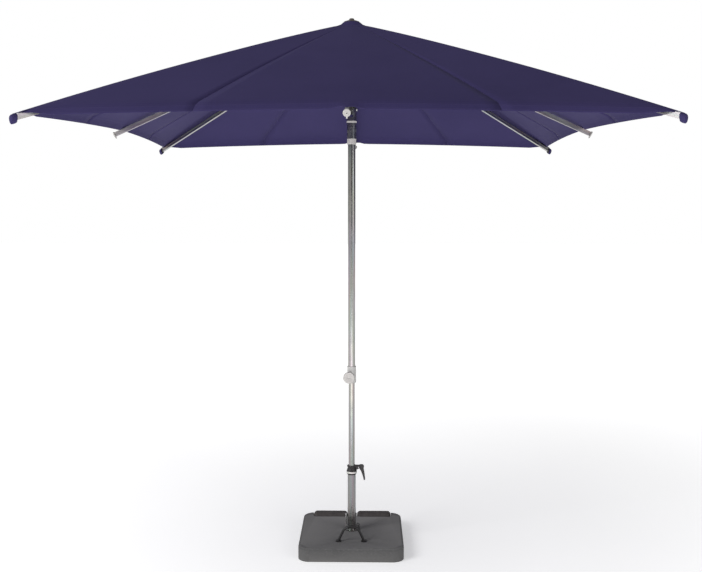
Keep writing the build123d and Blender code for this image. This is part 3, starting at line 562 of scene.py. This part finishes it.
def wing_grid(k):
    """Points and UVs of the cloth over rib k, from seam to seam across it."""
    grid, uv = [], []
    slant = math.hypot(1, SLOPE)
    far = [HEM_CURL + (1 - HEM_CURL) * ((i + 1) / FAR_ROWS) for i in range(FAR_ROWS)]
    for step in reversed(HEM_ROWS + far):
        row, marks = [], []
        for face, q in wing_lines(k):
            outer = hem_x(q)
            distance = step if step <= HEM_CURL else step * (outer - INNER_X) * slant
            x = outer - distance / slant
            y = q * x
            off_rib = min(abs(y), abs(abs(x) - abs(y)) * math.sqrt(0.5))
            z = cloth_height(x, y) + hem_rise(distance) - hem_drop(distance, off_rib)
            c, s = math.cos(math.radians(face)), math.sin(math.radians(face))
            row.append((x * c - y * s, x * s + y * c, z))
            marks.append((y if k % 2 == 0 else (y - x if q > 0 else y + x), distance))
        grid.append(row)
        uv.append(marks)
    return grid, uv


def ridge_band(k):
    """The felled seam over a corner rib: a narrow raised strip of doubled cloth."""
    c, s = direction(k)
    side = Vector((-s, c, 0))
    grid, uv = [], []
    for i in range(SEAM_STEPS + 1):
        m = SEAM_START + SEAM_LENGTH * i / SEAM_STEPS
        centre = Vector((math.copysign(m, c), math.copysign(m, s), 0))
        row, marks = [], []
        for across in SEAM_ACROSS:
            p = centre + side * across
            rise = SEAM_EDGE_RISE if abs(across) == SEAM_HALF else SEAM_RISE
            row.append((p.x, p.y, cloth_height(p.x, p.y) + rise))
            # The UVs put one row of stitches along each side of the strip.
            marks.append((m * 1.45, 0.0107 + across * 0.92))
        grid.append(row)
        uv.append(marks)
    return grid, uv


def pocket(k):
    """Cloth cup sewn under a corner, that the rib's end sits in. It is open towards the pole."""
    c, s = direction(k)
    side = Vector((-s, c, 0))
    level = Vector((c, s, 0))
    end = level * CORNER_TIP[0] + Vector((0, 0, CORNER_TIP[1]))
    grid, uv = [], []
    for depth, radius in POCKET:
        row, marks = [], []
        for j in range(POCKET_TURNS + 1):
            angle = 2 * math.pi * j / POCKET_TURNS
            wide = radius * math.sin(angle)
            tall = radius * math.cos(angle)
            if tall < 0:
                tall *= POCKET_HANG
                wide *= 1 + POCKET_NARROWING * tall
            p = end + level * depth + side * wide + Vector((0, 0, tall - POCKET_SLANT * depth))
            row.append(tuple(p))
            marks.append((radius * angle, POCKET_UV - depth))
        grid.append(row)
        uv.append(marks)
    return grid, uv


def cap_grid():
    """The cloth cap over the crown: flat under the finial's disc, then down onto the wings."""
    grid, uv = [], []
    for r in CAP_RINGS:
        row, marks = [], []
        for j in range(CAP_TURNS + 1):
            angle = 2 * math.pi * j / CAP_TURNS
            x, y = r * math.cos(angle), r * math.sin(angle)
            z = CROWN_TOP + CAP_OVER_CROWN
            if r >= CAP_FLAT:
                z = max(cloth_height(x, y) + CAP_OVER_WINGS, z - CAP_FALL * max(0.0, r - CAP_BEND))
            if r >= CAP_RINGS[-2]:
                z -= CAP_TUCK
            row.append((x, y, z))
            marks.append((r * angle, CAP_RINGS[-1] - r))
        grid.append(row)
        uv.append(marks)
    return grid, uv


for k, where in enumerate(DIRECTIONS):
    c, s = direction(k)
    grid, uv = wing_grid(k)
    wing = sew("canopy_wing_" + where, surface_mesh("canopy_wing_" + where, grid, uv), CLOTH)
    extras = []
    if k % 2:
        strip = sew("ridge_seam_" + where, surface_mesh("ridge_seam_" + where, *ridge_band(k)), SEAM_CLOTH)
        cup = sew("corner_pocket_" + where, surface_mesh("corner_pocket_" + where, *pocket(k)), CLOTH)
        extras = [strip, cup]
    for piece in [wing, *extras]:
        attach(piece, "rib_" + where)
        if not piece.name.startswith("corner_pocket"):
            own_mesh(piece)
    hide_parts("canopy_" + where)

grid, uv = cap_grid()
mesh = surface_mesh("canopy_cap", grid, uv)
weld(mesh)
peak = sew("canopy_cap", mesh, CLOTH)
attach(peak, "head")
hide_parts("canopy_peak")


# ---------------------------------------------------------------- stage, light and camera

def floor_material():
    """Pale paper that glows a little, and more with distance, so that it ends as white."""
    made, tree, bsdf = new_material("pale_floor")
    clouds = noise(tree, place(tree), 0.7, 3, 0.5)
    tone = ramp(tree, clouds, "Fac", [(0.3, (0.93, 0.93, 0.93)), (0.7, (0.96, 0.96, 0.96))])
    join(tree, (tone, 0), bsdf, "Base Color")
    bsdf.inputs["Roughness"].default_value = 0.9
    bsdf.inputs["Specular IOR Level"].default_value = 0.1
    bsdf.inputs["Emission Color"].default_value = (1.0, 1.0, 1.0, 1)
    start = add(tree, "ShaderNodeTexCoord")
    far = add(tree, "ShaderNodeVectorMath", operation="LENGTH")
    link(tree, start, "Object", far, 0)
    join(tree, spread(tree, far, "Value", 0.36, 0.85, 0.5, 6.0), bsdf, "Emission Strength")
    return made


def studio_world():
    """White to the camera, and the horizon's panels to everything that is lit or reflects."""
    world = bpy.data.worlds.new("studio")
    world.use_nodes = True
    tree = world.node_tree
    background = tree.nodes["Background"]
    background.inputs["Strength"].default_value = 1.0
    sky = add(tree, "ShaderNodeTexCoord")
    split = add(tree, "ShaderNodeSeparateXYZ")
    link(tree, sky, "Generated", split, "Vector")
    angle = maths(tree, "ARCTAN2", (split, "X"), maths(tree, "MULTIPLY", (split, "Y"), -1.0))
    around = spread(tree, *angle, 0.0, 1.0, -math.pi, math.pi)
    shade = ramp(tree, *around, HORIZON)
    rays = add(tree, "ShaderNodeLightPath")
    join(tree, mix(tree, (rays, "Is Camera Ray"), (shade, 0), (1.0, 1.0, 1.0)), background, "Color")
    return world


def area_light(name, place_at, aim, size, power):
    data = bpy.data.lights.new(name, "AREA")
    data.shape = "RECTANGLE"
    data.size, data.size_y = size
    data.energy = power
    lamp = bpy.data.objects.new(name, data)
    lamp.location = place_at
    lamp.rotation_euler = (Vector(aim) - Vector(place_at)).to_track_quat("-Z", "Y").to_euler()
    bpy.context.scene.collection.objects.link(lamp)


bpy.ops.mesh.primitive_plane_add(size=60, location=(0, 0, 0))
floor = bpy.context.object
floor.name = "floor"
floor.data.materials.append(floor_material())

bpy.context.scene.world = studio_world()
for light in LIGHTS:
    area_light(*light)

camera_data = bpy.data.cameras.new("camera")
camera_data.lens = LENS
camera_data.sensor_width = SENSOR
camera_data.clip_end = 100
camera = bpy.data.objects.new("camera", camera_data)
camera.location = CAMERA_AT
camera.rotation_euler = Euler((math.radians(90 - CAMERA_DOWN), 0, CAMERA_YAW))
bpy.context.scene.collection.objects.link(camera)
bpy.context.scene.camera = camera
bpy.context.scene.view_settings.view_transform = "Standard"
